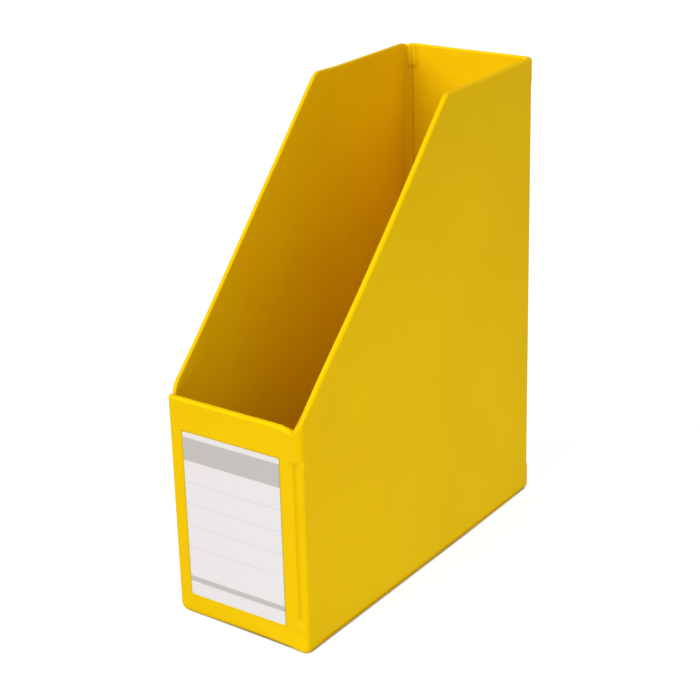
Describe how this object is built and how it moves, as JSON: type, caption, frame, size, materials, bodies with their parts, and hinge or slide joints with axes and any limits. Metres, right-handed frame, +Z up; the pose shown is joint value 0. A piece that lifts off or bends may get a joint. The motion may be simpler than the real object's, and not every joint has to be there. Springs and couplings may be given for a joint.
{
  "type": "magazine file holder",
  "caption": "Tall open-fronted file with sloping side walls, board panels covered in PVC film and joined by film hinges so that it folds flat; label on the low front.",
  "frame": {"origin": "on the underside of the base, at the middle of the body", "axes": "+Z up, -Y the front with the label, +X the right wall"},
  "size_m": [0.109, 0.272, 0.32],
  "materials": {
    "pvc_film": "satin",
    "greyboard": "matte",
    "label_paper": "matte",
    "stud_metal": "gloss"
  },
  "bodies": {
    "right_wall": {"right_board": "greyboard", "right_outer_film": "pvc_film", "right_inner_film": "pvc_film"},
    "back_wall": {"back_board": "greyboard", "back_outer_film": "pvc_film", "back_inner_film": "pvc_film", "back_right_hinge": "pvc_film"},
    "left_wall": {"left_board": "greyboard", "left_outer_film": "pvc_film", "left_inner_film": "pvc_film", "back_left_hinge": "pvc_film", "stud_posts": "stud_metal"},
    "front_wall": {"front_board": "greyboard", "front_outer_film": "pvc_film", "front_inner_film": "pvc_film", "front_right_hinge": "pvc_film", "front_left_flap": "pvc_film", "label_card": "label_paper"},
    "base": {"base_board": "greyboard", "base_outer_film": "pvc_film", "base_inner_film": "pvc_film", "base_hinge": "pvc_film", "tongue_root": "pvc_film"},
    "tongue": {"closing_tongue": "pvc_film", "stud_caps": "stud_metal"}
  },
  "joints": [
    {"name": "back_fold", "type": "hinge", "parent": "right_wall", "child": "back_wall", "pos_m": [0.0459, 0.1336, 0.16], "axis": [0, 0, 1], "range_deg": [0, 90], "deforming": ["back_right_hinge"]},
    {"name": "left_fold", "type": "hinge", "parent": "back_wall", "child": "left_wall", "pos_m": [-0.0459, 0.1336, 0.16], "axis": [0, 0, 1], "range_deg": [-90, 0], "deforming": ["back_left_hinge"]},
    {"name": "front_fold", "type": "hinge", "parent": "right_wall", "child": "front_wall", "pos_m": [0.0459, -0.1336, 0.076], "axis": [0, 0, 1], "range_deg": [0, 90], "deforming": ["front_right_hinge", "front_left_flap"]},
    {"name": "base_fold", "type": "hinge", "parent": "right_wall", "child": "base", "pos_m": [0.0502, 0, 0.00025], "axis": [0, -1, 0], "range_deg": [0, 90], "deforming": ["base_hinge"]},
    {"name": "tongue_fold", "type": "hinge", "parent": "base", "child": "tongue", "pos_m": [-0.0545, 0, 0.0005], "axis": [0, -1, 0], "range_deg": [0, 90]}
  ],
  "couplings": [
    {"joint": "left_fold", "follows": "back_fold", "ratio": -1},
    {"joint": "front_fold", "follows": "back_fold", "ratio": 1},
    {"joint": "base_fold", "follows": "back_fold", "ratio": 1},
    {"joint": "tongue_fold", "follows": "back_fold", "ratio": 1}
  ]
}
